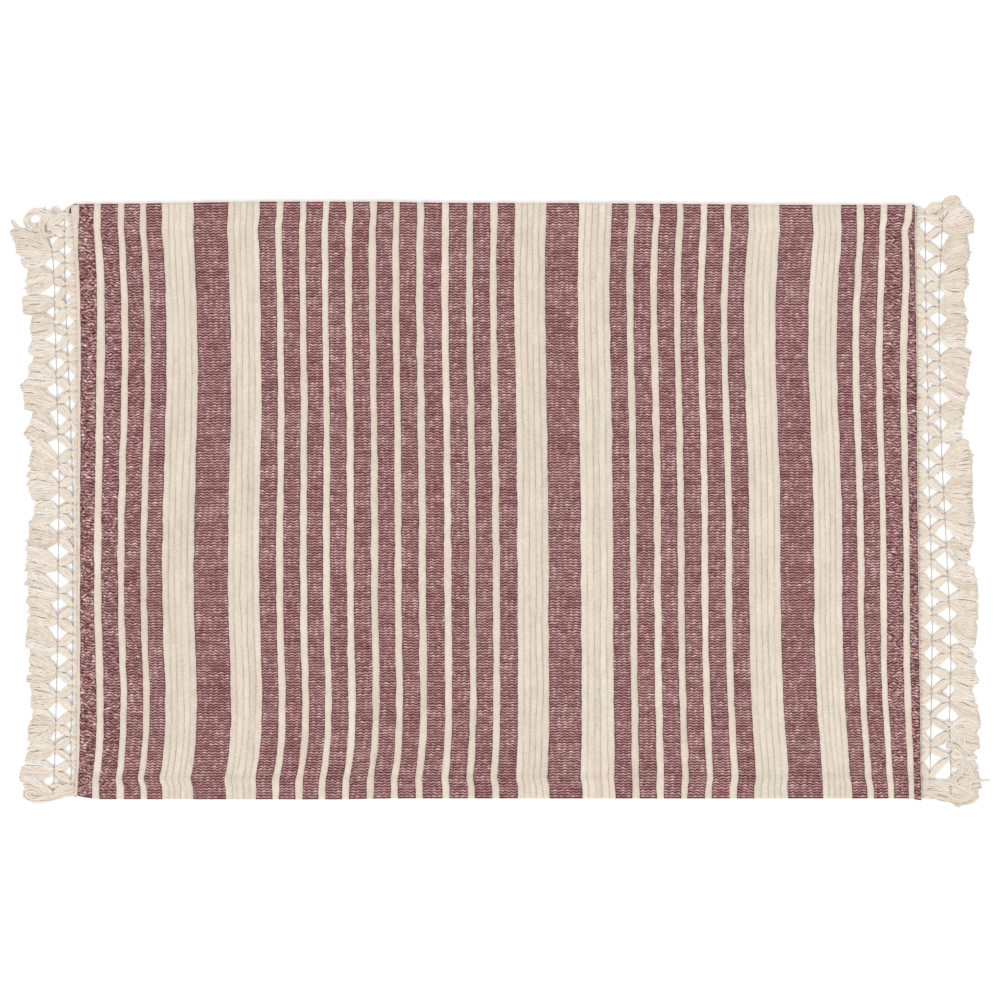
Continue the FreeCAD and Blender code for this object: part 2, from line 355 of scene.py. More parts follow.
# ------------------------------------------------------------------ stripes
STRIPES = [
    ("c", -355.0), ("b", -352.2), ("c", -338.7), ("b", -332.4), ("c", -318.6),
    ("b", -312.9), ("c", -299.5), ("b", -294.0), ("c", -281.1), ("b", -254.7),
    ("c", -226.6), ("b", -200.6), ("c", -186.7), ("b", -180.9), ("c", -167.2),
    ("b", -161.4), ("c", -148.0), ("b", -142.5), ("c", -128.6), ("b", -122.5),
    ("c", -108.4), ("b", -102.5), ("c", -88.6), ("b", -82.8), ("c", -68.6),
    ("b", -62.5), ("c", -47.4), ("b", -41.4), ("c", -26.7), ("b", -21.0),
    ("c", -6.9), ("b", -1.0), ("c", 13.8), ("b", 39.9), ("c", 67.0),
    ("b", 94.1), ("c", 108.1), ("b", 114.0), ("c", 128.3), ("b", 134.2),
    ("c", 148.2), ("b", 153.9), ("c", 168.1), ("b", 173.8), ("c", 188.1),
    ("b", 193.8), ("c", 207.9), ("b", 234.3), ("c", 262.1), ("b", 285.8),
    ("c", 298.6), ("b", 304.3), ("c", 317.7), ("b", 323.2), ("c", 337.1),
    ("b", 342.9), ("c", 349.0)]
EDGES = [x for _, x in STRIPES] + [RIGHT_END]

ROW = 498.0 / 216.0            # pitch of the fine rows in the burgundy bands
WAVE = 4.65                    # length of their zigzag along the mat
AMP = 0.56                     # and its half height


def edge_jitter(k, t):
    """How far the border between two stripes strays, in mm, along the mat's width."""
    if k == 0 or k == len(EDGES) - 1:
        return 0.25 * (noise(t / 9.0, k * 1.7 + 0.3, 11) - 0.5)
    if k == 1:
        return 2.6 * smooth((t - 208.0) / 36.0) + 0.7 * (noise(t / 11.0, 2.0, 11) - 0.5) + 0.5 * (noise(t / 2.3, 2.9, 12) - 0.5)
    if k == len(EDGES) - 2:
        return 0.75 + 0.5 * (noise(t / 4.0, 7.3, 11) - 0.5)
    return 0.9 * (noise(t / 14.0, k * 1.7 + 0.3, 11) - 0.5) + 0.5 * (noise(t / 2.3, k * 2.9, 12) - 0.5)


def hem_top(t):
    a = np.abs(t)
    return HEM_RISE * smooth((a - 228.6) / 5.2) - 0.45 * np.exp(-((a - SEAM + 0.7) / 1.1) ** 2)


def ring(per_row):
    """The closed section of the cloth: (t, part, level); part 0 face, 1 edge, 2 pocket, 3 underside."""
    n = 216 * per_row
    t = [(-249.0 + 498.0 * i / n, 0, 0.0) for i in range(n + 1)]
    edge = [(249.55, 1, 0.72), (249.92, 1, 0.5), (250.0, 1, 0.3), (249.9, 1, 0.12), (249.5, 1, 0.03), (248.7, 1, 0.01)]
    inner = [(248.3, 2, 1.0)] + [(a, 2, 1.0) for a in (245.6, 242.0, 238.4, 234.8, 231.9)] + [(230.2, 2, 0.35)]
    t += edge + inner
    m = int(round(216 * (228.2 / 249.0))) * max(1, per_row // 2)
    t += [(228.2 - 456.4 * i / m, 3, 0.0) for i in range(m + 1)]
    t += [(-a, p, l) for a, p, l in inner[::-1]] + [(-a, p, l) for a, p, l in edge[::-1]]
    t = np.array(t)
    return t[:, 0], t[:, 1].astype(int), t[:, 2], n + 1


def caps(tt, part, n_top):
    """Triangles joining the face to the rest of the ring, for an end wall that faces -x."""
    upper = list(range(n_top))
    lower = list(range(len(tt) - 1, n_top - 1, -1))
    pu = np.maximum.accumulate(tt[upper])
    pl = np.maximum.accumulate(tt[lower])
    out, i, j = [], 0, 0
    while i < len(upper) - 1 or j < len(lower) - 1:
        if j == len(lower) - 1 or (i < len(upper) - 1 and pu[i + 1] <= pl[j + 1]):
            out.append((upper[i], upper[i + 1], lower[j]))
            i += 1
        else:
            out.append((upper[i], lower[j + 1], lower[j]))
            j += 1
    return np.array(out)


RING_B, RING_C = ring(4), ring(1)
CAP_B, CAP_C = caps(*RING_B[:2], RING_B[3]), caps(*RING_C[:2], RING_C[3])


def strip_faces(cols, m, cap):
    c, r = np.meshgrid(np.arange(cols - 1), np.arange(m), indexing="ij")
    r2 = (r + 1) % m
    quads = np.stack([c * m + r, (c + 1) * m + r, (c + 1) * m + r2, c * m + r2], -1).reshape(-1, 4)
    tris = np.concatenate([cap, cap[:, ::-1] + (cols - 1) * m])
    return quads, tris


def section_z(tt, part, level, top):
    """Heights round the ring for a face at height top (without relief)."""
    z = np.where(part == 0, top, 0.0)
    z = np.where(part == 1, np.maximum(level * top / 0.78, 0.05), z)
    z = np.where(part == 1, np.minimum(z, top - 0.25), z)
    z = np.where(part == 2, 1.78 * level, z)
    return z


def burgundy_strip(k):
    tt, part, level, n_top = RING_B
    s0, s1 = EDGES[k], EDGES[k + 1]
    phase = np.random.default_rng(100 + k).random()
    # columns on the crests, flanks and troughs of the zigzag
    step = WAVE / 4.0
    n = max(6, int(round((s1 - s0) / step)))
    s = np.linspace(s0, s1, n + 1)
    s = np.concatenate([[s0, s0 + 0.45], s[1:-1], [s1 - 0.45, s1]])
    S, T = s[:, None], tt[None, :]
    j0, j1 = edge_jitter(k, tt)[None, :], edge_jitter(k + 1, tt)[None, :]
    u = (S - s0) / (s1 - s0)
    wild = {1: 0.85, 3: 0.5, 5: 0.35, 51: 0.25, 53: 0.5, 55: 0.7, 57: 0.9}.get(k, 0.14)
    # zigzag, coherent from row to row, drifting slowly
    ph = S / WAVE + phase + 0.7 * (noise(T / 48.0, S / 40.0 + k, 21) - 0.5) + wild * 2.6 * (noise(T / 4.6, S / 5.5 + k, 22) - 0.5)
    tri = 2.0 * np.abs(2.0 * (ph - np.floor(ph + 0.5))) - 1.0
    row = (T + 249.0) / ROW
    rid = np.floor(row + 0.25).astype(int) + 0 * S.astype(int)
    seg = np.floor((S - s0) / 11.0).astype(int) + 0 * rid
    fade = 1.0 - smooth((np.abs(T) - 246.8) / 1.8)
    amp = AMP * (0.75 + 0.5 * noise(T / 4.0, S / 9.0, 23)) * (1 + 0.7 * wild)
    dy = fade * (amp * tri + 0.40 * (noise(S / 3.5 + 31, rid * 1.0, 24) - 0.5) * (1 + 2.2 * wild))
    dy = dy + fade * 0.5 * (noise(T / 30.0, S / 20.0, 25) - 0.5)
    y = T + np.where(part[None, :] == 0, dy, np.where(part[None, :] == 3, 0.9 * dy, 0.0))
    crest = 0.5 - 0.5 * np.cos(2 * np.pi * (T + 249.0) / ROW)          # 0 in a furrow, 1 on a row
    R = 0.40 * cell(rid, k, 26) + 0.60 * noise(S / 5.5 + 3, rid * 1.0, 27)
    top = Z_BURG + hem_top(T)
    h = 0.32 * (1 - crest) * (0.85 + 0.3 * cell(rid, k + 40, 28)) + 0.08 * crest * (1 - R)
    h = h + 0.10 * (0.5 - 0.5 * tri) * crest
    tuck = 0.22 * (1 - smooth(np.minimum(S - s0, s1 - S) / 1.2))
    if k == 0 or k == len(STRIPES) - 1:
        tuck = tuck * 0.5
    z = section_z(tt, part, level, top) + 0 * S
    z = z - np.where(part[None, :] == 0, (h * 1.55 + tuck) * (1 - 0.5 * smooth((np.abs(T) - 247.5) / 1.5)), 0.0)
    und = 0.12 + 0.30 * (1 - crest) + 0.10 * (0.5 - 0.5 * tri) + 1.6 * tuck
    z = np.where(part[None, :] == 3, und, z)
    z = np.where((part[None, :] == 1), z, np.maximum(z, 0.05))
    X = S + j0 * (1 - u) + j1 * u
    comb = (0.10 + 0.42 * cell(rid, k + 3, 37)) * (1 - crest) ** 1.5 * (part[None, :] == 0) * fade
    X = X + np.where(u < 1e-6, comb, 0.0) - np.where(u > 1 - 1e-6, comb, 0.0)
    P = place(X, y, z)
    # tone of the yarn: pale crests and dark furrows, partly the yarn's own burgundy and cream and partly painted light
    # on the crests and painted shade in the furrows; each row and length its own
    light = 0.60 + 0.12 * R + 0.20 * (noise(S / 4.0, rid * 1.0 + 7, 29) - 0.5) + 0.03 * tri
    deep = 0.00 + 0.20 * cell(rid, k + 9, 30) ** 1.5 * (0.4 + 0.9 * noise(S / 5.0, rid * 1.0, 31))
    c2 = smooth((crest - 0.02) * 1.10)
    tone = deep * (1 - c2) + light * c2
    # pale spots near the zigzag crests: partly cream warp showing through, partly a painted highlight
    glint = (noise(S / 1.5, rid * 1.0 + 0.5, 32) > 0.57) * smooth((tri + 0.75) / 1.1) * c2
    # painted shade: some rows darkened where the strip's end tucks under the neighbouring rib
    tone = tone + (0.20 + 0.14 * R) * glint - 0.24 * (tuck > 0.15) * (cell(rid, k, 33) > 0.5) * (crest < 0.6)
    tone = tone + 0.12 * (np.random.default_rng(500 + k).random(tone.shape) - 0.5)
    tone = tone + 0.05 * (noise(S / 18.0, T / 12.0 + k, 34) - 0.5)
    tone = tone + wild * 0.60 * (noise(S / 1.7, T / 1.3 + k, 38) - 0.5)
    hue = smooth((noise(S / 13.0, rid * 0.35 + k, 35) - 0.42) / 0.4) * 0.8 + 0.2 * cell(rid, k, 36)
    quads, tris = strip_faces(len(s), len(tt), CAP_B)
    return P.reshape(-1, 3), quads, tris, {"tone": tone.ravel(), "hue": hue.ravel()}


WIDE = {k for k, (kind, x) in enumerate(STRIPES) if kind == "c" and EDGES[k + 1] - x > 20}


def cream_strip(k):
    tt, part, level, n_top = RING_C
    s0, s1 = EDGES[k], EDGES[k + 1]
    ribs = 5 if k in WIDE else 1
    if k in WIDE:
        us = [-1, -0.86, -0.55, 0.0, 0.55, 0.86]
    else:
        us = [-1, -0.84, -0.5, -0.17, 0.17, 0.5, 0.84]
    cols = []                                    # (rib, place in the rib -1..1)
    for r in range(ribs):
        cols += [(r, u) for u in us]
    cols.append((ribs - 1, 1.0))
    rib = np.array([c[0] for c in cols])[:, None]
    U = np.array([c[1] for c in cols])[:, None]
    g = (rib + (U + 1) / 2) / ribs               # 0..1 across the band
    T = tt[None, :]
    # the borders between ribs wander a little, and the ribs are not equally wide
    borders = []
    for b in range(ribs + 1):
        if b == 0:
            borders.append(edge_jitter(k, tt))
        elif b == ribs:
            borders.append(edge_jitter(k + 1, tt))
        else:
            off = 0.5 * (cell(b, k, 40) - 0.5)
            borders.append(off + 1.3 * (noise(tt / 38.0, k * 5.1 + b, 41) - 0.5) + 0.7 * (noise(tt / 7.0, k * 3.3 + b, 42) - 0.5))
    B = np.array(borders)
    J = B[rib[:, 0]] * (1 - (U + 1) / 2) + B[rib[:, 0] + 1] * (U + 1) / 2
    S = s0 + (s1 - s0) * g + J
    au = np.abs(U)
    fat = 0.30 * (noise(T / 26.0, rib * 3.0 + k, 43) - 0.5) + 0.2 * (noise(T / 5.0, rib * 5.0 + k * 2, 44) - 0.5)
    crest = Z_CREAM + fat
    drop = (0.62 if k in WIDE else 0.80) * au ** 4
    if k == 0 or k == len(STRIPES) - 1:
        drop = 0.7 * au ** 4
    top = crest + hem_top(T) - drop
    z = section_z(tt, part, level, top)
    z = np.where(part[None, :] == 3, 0.06 + 0.5 * au ** 2.6 + 0 * T, z)
    y = T + np.where(part[None, :] == 0, 0.25 * (noise(S / 8.0, T / 20.0, 45) - 0.5), 0.0)
    P = place(S, y, z)
    inner = ((rib > 0) | (U > -1)) & ((rib < ribs - 1) | (U < 1))
    # painted shade: thin dark lines along the grooves between the ribs, broken in places, and only a trace at the
    # band's own borders
    line = smooth((au - 0.84) / 0.16)
    broken = smooth((noise(T / 24.0, (rib + (U > 0)) * 1.0 + k * 7, 46) - 0.24) / 0.34)
    broken = broken * (0.55 + 0.45 * noise(T / 3.0, (rib + (U > 0)) * 2.0 + k, 47))
    groove = np.where(inner, line * (0.12 + 0.85 * broken), line * 0.03) + 0 * T
    if ribs == 1:
        groove = line * 0.02 + 0 * T
    # painted shade along the last end picks, in spots
    if k == len(STRIPES) - 1:
        groove = groove * 0.3 + 0.10 + 0.25 * (noise(T / 2.5, 3.0, 53) > 0.6)
    vary = 0.40 + 0.24 * (noise(T / 9.0, rib * 4.0 + k * 3, 48) - 0.5) + 0.30 * (cell(rib, k, 49) - 0.5)
    # painted light and shade: each rib lighter along its crown and darker towards its rounded edges
    vary = vary + 0.22 * (1 - au ** 2) - 0.05 + 0.20 * (noise(S / 1.3, T / 2.0, 50) - 0.5)
    hue = 0.5 + 1.3 * (noise(S / 2.6, T / 55.0 + k, 51) - 0.5) + 0.5 * (noise(S / 45.0, T / 60.0, 54) - 0.4)
    if ribs == 1:
        hue = hue * 0.6 + 0.32
    else:
        hue = 0.5 + 0.55 * (hue - 0.5)
    if k == 0:
        hue = hue * 0.3 + 0.72
    quads, tris = strip_faces(len(cols), len(tt), CAP_C)
    return P.reshape(-1, 3), quads, tris, {"groove": groove.ravel(), "vary": vary.ravel(), "hue": hue.ravel()}


def strips(name, kind, first, last, mats):
    vs, qs, ts, at, base = [], [], [], {}, 0
    for k in range(first, last + 1):
        if STRIPES[k][0] != kind:
            continue
        v, q, t, a = (burgundy_strip if kind == "b" else cream_strip)(k)
        vs.append(v); qs.append(q + base); ts.append(t + base)
        for key, val in a.items():
            at.setdefault(key, []).append(val)
        base += len(v)
    q, t = np.concatenate(qs), np.concatenate(ts)
    return make(name, np.concatenate(vs), q, t, mats,
                {k: np.concatenate(v) for k, v in at.items()}, flat=np.arange(len(q), len(q) + len(t)))


K = {x: k for k, (_, x) in enumerate(STRIPES)}
# (piece, kind, first stripe, last stripe, CAD node, body or None where it crosses the fold)
CLOTH = [
    ("burgundy_left_end", "b", 0, K[-294.0], "burgundy_bands_left_end", "left_half"),
    ("cream_left_end", "c", 0, K[-299.5], "cream_ribs_left_end", "left_half"),
    ("cream_wide_1", "c", K[-281.1], K[-281.1], "wide_cream_band_1", "left_half"),
    ("burgundy_wide_1", "b", K[-254.7], K[-254.7], "wide_burgundy_band_1", "left_half"),
    ("cream_wide_2", "c", K[-226.6], K[-226.6], "wide_cream_band_2", "left_half"),
    ("burgundy_left_field_a", "b", K[-200.6], K[-122.5], "burgundy_bands_left_field", "left_half"),
    ("burgundy_left_field_b", "b", K[-102.5], K[-21.0], "burgundy_bands_left_field", None),
    ("cream_left_field", "c", K[-186.7], K[-6.9], "cream_ribs_left_field", None),
    ("burgundy_centre", "b", K[-1.0], K[-1.0], "burgundy_band_centre", None),
    ("cream_wide_3", "c", K[13.8], K[13.8], "wide_cream_band_3", None),
    ("burgundy_wide_2", "b", K[39.9], K[39.9], "wide_burgundy_band_2", "right_half"),
    ("cream_wide_4", "c", K[67.0], K[67.0], "wide_cream_band_4", "right_half"),
    ("burgundy_right_field", "b", K[94.1], K[193.8], "burgundy_bands_right_field", "right_half"),
    ("cream_right_field", "c", K[108.1], K[188.1], "cream_ribs_right_field", "right_half"),
    ("cream_wide_5", "c", K[207.9], K[207.9], "wide_cream_band_5", "right_half"),
    ("burgundy_wide_3", "b", K[234.3], K[234.3], "wide_burgundy_band_3", "right_half"),
    ("cream_wide_6", "c", K[262.1], K[262.1], "wide_cream_band_6", "right_half"),
    ("burgundy_right_end", "b", K[285.8], K[342.9], "burgundy_bands_right_end", "right_half"),
    ("cream_right_end", "c", K[298.6], K[349.0], "cream_ribs_right_end", "right_half")]
EXTRA = {"cream_left_end": ["left_end_picks"], "cream_right_end": ["right_end_picks"]}

left_cloth, right_cloth = [], []


def attach(ob, body, nodes):
    if body is None:
        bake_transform(ob)
    else:
        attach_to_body(ob, body)
    if nodes:
        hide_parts(*nodes)


for name, kind, a, b, node, body in CLOTH:
    ob = strips(name, kind, a, b, [MAT_B if kind == "b" else MAT_C])
    attach(ob, body, [node] + EXTRA.get(name, []))
    (left_cloth if EDGES[b] < FOLD - 0.5 else right_cloth).append(ob)


# ------------------------------------------------ the turned-under hem, four lengths
def turning(name, s_lo, s_hi, side, node):
    """The strip of cloth folded under, seen from below: the same stripes, a closed slab."""
    vs, qs, ts, mi, tone, vary, groove, hue, base = [], [], [], [], [], [], [], [], 0
    n_t = 7 * 4
    tl = np.linspace(231.86, 248.0, n_t + 1)
    under = tl[::-1]
    T1 = np.concatenate([tl, under])
    low = np.concatenate([np.full(n_t + 1, 1.0), np.zeros(n_t + 1)])
    m = len(T1)
    for k, (kind, x) in enumerate(STRIPES):
        a, b = max(EDGES[k], s_lo), min(EDGES[k + 1], s_hi)
        if b - a < 0.3:
            continue
        n = max(3, int(round((b - a) / (WAVE / 4 if kind == "b" else 0.65))))
        s = np.linspace(a, b, n + 1)
        S, T = s[:, None], T1[None, :] * side
        row = (T + 249.0) / ROW
        rid = np.floor(row + 0.25).astype(int) + 0 * S.astype(int)
        u = np.abs(2 * (S - a) / (b - a) - 1)
        crest = 0.5 - 0.5 * np.cos(2 * np.pi * (T + 249.0) / ROW)
        ph = S / WAVE + 0.3 * k
        tri = 2.0 * np.abs(2.0 * (ph - np.floor(ph + 0.5))) - 1.0
        if kind == "b":
            z0 = 0.06 + 0.34 * (1 - crest) + 0.25 * u ** 8
            y = T + 0.45 * tri * (low[None, :] == 0) * smooth((np.abs(T) - 231.9) / 1.0) * smooth((248.0 - np.abs(T)) / 1.0)
        else:
            rib = 5 if EDGES[k + 1] - EDGES[k] > 20 else 1
            ur = np.abs(2 * (((S - EDGES[k]) / (EDGES[k + 1] - EDGES[k]) * rib) % 1.0) - 1)
            z0 = 0.05 + 0.5 * ur ** 3 + 0 * T
            line = 0.75 * smooth((ur - 0.78) / 0.2) * (rib > 1)
            y = T + 0 * S
        z = np.where(low[None, :] > 0, 1.62, z0)
        P = place(S, y, z)
        c, r = np.meshgrid(np.arange(n), np.arange(m), indexing="ij")
        r2 = (r + 1) % m
        q = np.stack([c * m + r, (c + 1) * m + r, (c + 1) * m + r2, c * m + r2], -1).reshape(-1, 4)
        w = np.arange(m // 2 - 1)
        cap = np.stack([w, w + 1, m - 2 - w, m - 1 - w], -1)
        caps_q = np.concatenate([cap, cap[:, ::-1] + n * m])
        q = np.concatenate([q, caps_q])
        if side < 0:
            q = q[:, ::-1]
        vs.append(P.reshape(-1, 3)); qs.append(q + base)
        mi.append(np.full(len(q), 0 if kind == "b" else 1))
        # tone as on the face: pale crests and dark furrows, partly the yarn's own colours and partly painted light and
        # painted shade; the pale spots near the zigzag crests are partly cream warp showing and partly a painted
        # highlight
        R = 0.62 * cell(rid, k, 26) + 0.38 * noise(S / 9.0 + 3, rid * 1.0, 27)
        c2 = smooth(crest * 1.1)
        crest_glint = (noise(S / 1.9, rid * 1.0 + 0.5, 32) > 0.57) * smooth((tri + 0.75) / 1.1) * c2
        tone.append(((0.02 + 0.25 * R) * (1 - c2) + (0.54 + 0.24 * R) * c2 + 0.25 * crest_glint).ravel())
        # painted shade towards the ends of the burgundy strips and along the grooves between the cream ribs
        groove.append(((0.1 * u ** 6 if kind == "b" else line) + 0 * T).ravel())
        vary.append((0.45 + 0.3 * (noise(T / 4.0, S / 2.0, 52) - 0.5)).ravel())
        hue.append((0.5 + 0 * (S + T)).ravel())
        base += P.shape[0] * P.shape[1]
    return make(name, np.concatenate(vs), np.concatenate(qs), None, [MAT_B, MAT_C],
                {"tone": np.concatenate(tone), "groove": np.concatenate(groove),
                 "vary": np.concatenate(vary), "hue": np.concatenate(hue)},
                mat_index=np.concatenate(mi))


for half, lo, hi in (("left", LEFT_END + 0.4, FOLD), ("right", FOLD, RIGHT_END - 0.4)):
    for word, side in (("back", 1), ("front", -1)):
        node = "%s_hem_turning_%s" % (word, half)
        ob = turning("hem_turning_%s_%s" % (word, half), lo, hi, side, node)
        attach(ob, None, [node])
        (left_cloth if half == "left" else right_cloth).append(ob)


# ------------------------------------------------------------------ tubes
def tubes(paths, radius, sides=6, ply=0.0, turns=0.0, taper=0.6, tilt=None):
    """Closed tubes along many paths with the same number of points. paths is (n, p, 3)."""
    paths = np.asarray(paths, float)
    n, p, _ = paths.shape
    tan = np.gradient(paths, axis=1)
    tan /= np.linalg.norm(tan, axis=2, keepdims=True) + 1e-9
    up = np.zeros_like(tan); up[..., 2] = 1.0
    side = np.cross(up, tan)
    side /= np.linalg.norm(side, axis=2, keepdims=True) + 1e-9
    up = np.cross(tan, side)
    length = np.concatenate([np.zeros((n, 1)), np.cumsum(np.linalg.norm(np.diff(paths, axis=1), axis=2), 1)], 1)
    a = np.linspace(0, 2 * np.pi, sides, endpoint=False)
    rad = np.broadcast_to(np.asarray(radius, float).reshape(-1, 1) if np.ndim(radius) else np.full((1, 1), radius), (n, p)).copy()
    rad[:, 0] *= taper; rad[:, -1] *= taper
    ang = a[None, None, :]
    start = np.zeros(n) if tilt is None else tilt
    lobes = 1.0 + ply * np.cos(2 * (ang - turns * length[..., None] + start[:, None, None]))
    rr = rad[..., None] * lobes
    ring_pts = (paths[:, :, None, :] + rr[..., None] * (np.cos(ang)[..., None] * side[:, :, None, :]
                + np.sin(ang)[..., None] * up[:, :, None, :]))
    ends = np.stack([paths[:, 0] - tan[:, 0] * rad[:, :1] * 0.5, paths[:, -1] + tan[:, -1] * rad[:, -1:] * 0.5], 1)
    block = p * sides + 2
    verts = np.concatenate([ring_pts.reshape(n, p * sides, 3), ends], 1).reshape(-1, 3)
    i, j = np.meshgrid(np.arange(p - 1), np.arange(sides), indexing="ij")
    j2 = (j + 1) % sides
    q = np.stack([i * sides + j, i * sides + j2, (i + 1) * sides + j2, (i + 1) * sides + j], -1).reshape(-1, 4)
    jj = np.arange(sides); jj2 = (jj + 1) % sides
    t = np.concatenate([np.stack([np.full(sides, p * sides), jj2, jj], -1),
                        np.stack([np.full(sides, p * sides + 1), (p - 1) * sides + jj, (p - 1) * sides + jj2], -1)])
    off = (np.arange(n) * block)[:, None, None]
    along = np.concatenate([np.repeat(np.linspace(0, 1, p), sides), [0.0, 1.0]])
    return verts, (q[None] + off).reshape(-1, 4), (t[None] + off).reshape(-1, 3), block, along


class Yarns:
    """Collects tubes of one piece."""
    def __init__(self):
        self.v, self.q, self.t, self.vary, self.groove, self.n = [], [], [], [], [], 0

    def add(self, paths, radius, vary, groove=0.0, **kw):
        v, q, t, block, along = tubes(paths, radius, **kw)
        n = len(paths)
        self.v.append(v); self.q.append(q + self.n); self.t.append(t + self.n)
        self.vary.append(np.repeat(np.broadcast_to(np.asarray(vary, float), (n,)), block))
        g = np.asarray(groove, float)
        if g.ndim == 2:                                # one value per path and point
            pts = g.shape[1]
            side = (block - 2) // pts
            full = np.concatenate([np.repeat(g, side, axis=1), g[:, :1], g[:, -1:]], 1)
            self.groove.append(full.ravel())
        else:
            self.groove.append(np.repeat(np.broadcast_to(g, (n,)), block))
        self.n += len(v)

    def build(self, name, mat):
        return make(name, np.concatenate(self.v), np.concatenate(self.q), np.concatenate(self.t), [mat],
                    {"vary": np.concatenate(self.vary), "groove": np.concatenate(self.groove)})


def bezier(p0, p1, p2, p3, n):
    t = np.linspace(0, 1, n)[None, :, None]
    a, b, c, d = (np.asarray(p, float)[:, None, :] for p in (p0, p1, p2, p3))
    return a * (1 - t) ** 3 + 3 * b * t * (1 - t) ** 2 + 3 * c * t * t * (1 - t) + d * t ** 3


# ------------------------------------------------------------ hem stitching
for half, lo, hi in (("left", LEFT_END + 3, FOLD - 0.6), ("right", FOLD + 0.6, RIGHT_END - 2)):
    for word, side in (("back", 1), ("front", -1)):
        r = np.random.default_rng(70 + side + (half == "left") * 5)
        n = int((hi - lo) / 3.3)
        s0 = lo + (hi - lo) * (np.arange(n) + 0.12) / n
        s1 = lo + (hi - lo) * (np.arange(n) + 0.70) / n
        u = np.linspace(0, 1, 6)[None, :]
        S = s0[:, None] * (1 - u) + s1[:, None] * u
        T = side * (SEAM - 0.7) + 0.25 * (r.random((n, 1)) - 0.5) + 0.2 * (r.random((n, 1)) - 0.5) * u
        Z = 2.2 + 0.72 * np.sin(np.pi * np.clip(u * 1.1 - 0.05, 0, 1)) ** 0.5 + 0 * S
        ob_y = Yarns()
        ob_y.add(place(S, T, Z), 0.32, 0.45 + 0.4 * (r.random(n) - 0.5), ply=0.18, turns=2.2)
        # the lower thread of each stitch, under the turning
        Z2 = 0.42 - 0.30 * np.sin(np.pi * u) + 0 * S
        ob_y.add(place(S + 1.65, T * 0 + side * 231.4, np.maximum(Z2, 0.3)), 0.26, 0.4 + 0.4 * (r.random(n) - 0.5), ply=0.18, turns=2.2)
        ob = ob_y.build("hem_stitching_%s_%s" % (word, half), MAT_S)
        attach(ob, None, ["%s_hem_stitching_%s" % (word, half)])
        (left_cloth if half == "left" else right_cloth).append(ob)


# ------------------------------------------------ a burgundy thread end at the back left corner
thread = Yarns()
p0, p1, p2, p3 = [np.array(c, float) for c in ([(-353.5, 248.3, 4.2)] * 3, [(-357.5, 249.6, 4.4)] * 3, [(-360.2, 246.8, 3.6)] * 3, [(-359.9, 240.8, 2.6)] * 3)]
side_by = np.array([-0.55, 0.0, 0.55])[:, None]
curve = bezier(p0, p1, p2, p3, 12)
curve[..., 0] += side_by * 0.8
curve[..., 1] += side_by * 0.5
thread.add(curve, 0.42, 0.5, ply=0.15, turns=1.6)
thread_end = thread.build("burgundy_thread_end", MAT_B)
attach(thread_end, "left_half", ["burgundy_bands_left_end"])
left_cloth.append(thread_end)


# ------------------------------------------------ the warp inside the cloth
def warp(name, lo, hi):
    n_t, n_s = 196 * 2, 30
    t = np.linspace(-226.0, 226.0, n_t + 1)
    s = np.linspace(lo, hi, n_s + 1)
    ridge = 0.22 * np.cos(np.pi * np.arange(n_t + 1))
    T1 = np.concatenate([t, t[::-1]])
    Z1 = np.concatenate([1.85 + ridge * 0.6, (1.45 - ridge * 0.6)[::-1]])
    S, T = s[:, None], T1[None, :]
    P = place(S, T, Z1[None, :] + 0 * S)
    m, n = len(T1), n_s
    c, r = np.meshgrid(np.arange(n), np.arange(m), indexing="ij")
    q = np.stack([c * m + r, (c + 1) * m + r, (c + 1) * m + (r + 1) % m, c * m + (r + 1) % m], -1).reshape(-1, 4)
    w = np.arange(m // 2 - 1)
    cap = np.stack([w, w + 1, m - 2 - w, m - 1 - w], -1)
    q = np.concatenate([q, cap, cap[:, ::-1] + n * m])
    vary = 0.5 + 0.3 * (noise(T / 1.2, S / 30.0, 55) - 0.5)
    return make(name, P.reshape(-1, 3), q, None, [MAT_W], {"vary": vary.ravel(), "groove": 0 * vary.ravel()})


warp_left = warp("warp_yarns_left", LEFT_END + 1.2, FOLD)
warp_right = warp("warp_yarns_right", FOLD, RIGHT_END - 1.2)
attach(warp_left, None, ["warp_left"])
attach(warp_right, None, ["warp_right"])

# ------------------------------------------------------------------ fringe
LEFT_INNER = [242.5, 221.5, 200.2, 180.5, 162.6, 140.4, 117.2, 92.6, 68.8, 43.5, 20.5,
    -1.8, -23.1, -44.5, -67.4, -88.7, -110.8, -132.7, -154.5, -176.3, -197.2, -217.3, -236.6]
LEFT_OUTER = [249.2, 230.7, 209.0, 187.2, 166.7, 147.4, 125.5, 103.3, 81.7, 56.5, 32.0,
    12.1, -9.2, -30.6, -54.0, -77.0, -98.4, -121.5, -142.8, -163.7, -187.2, -207.3, -225.7, -245.0]
RIGHT_INNER = [241.6, 218.2, 195.6, 175.5, 153.7, 130.2, 107.6, 87.5, 64.9, 43.1, 20.5,
    -4.6, -28.1, -48.2, -72.4, -95.1, -116.8, -139.4, -160.8, -182.2, -205.6, -232.4]
RIGHT_OUTER = [249.2, 230.7, 205.6, 183.8, 162.9, 140.3, 117.7, 97.6, 75.0, 54.0, 31.4,
    8.0, -14.7, -38.1, -62.4, -83.8, -105.1, -126.9, -147.8, -167.9, -192.2, -214.0, -244.1]
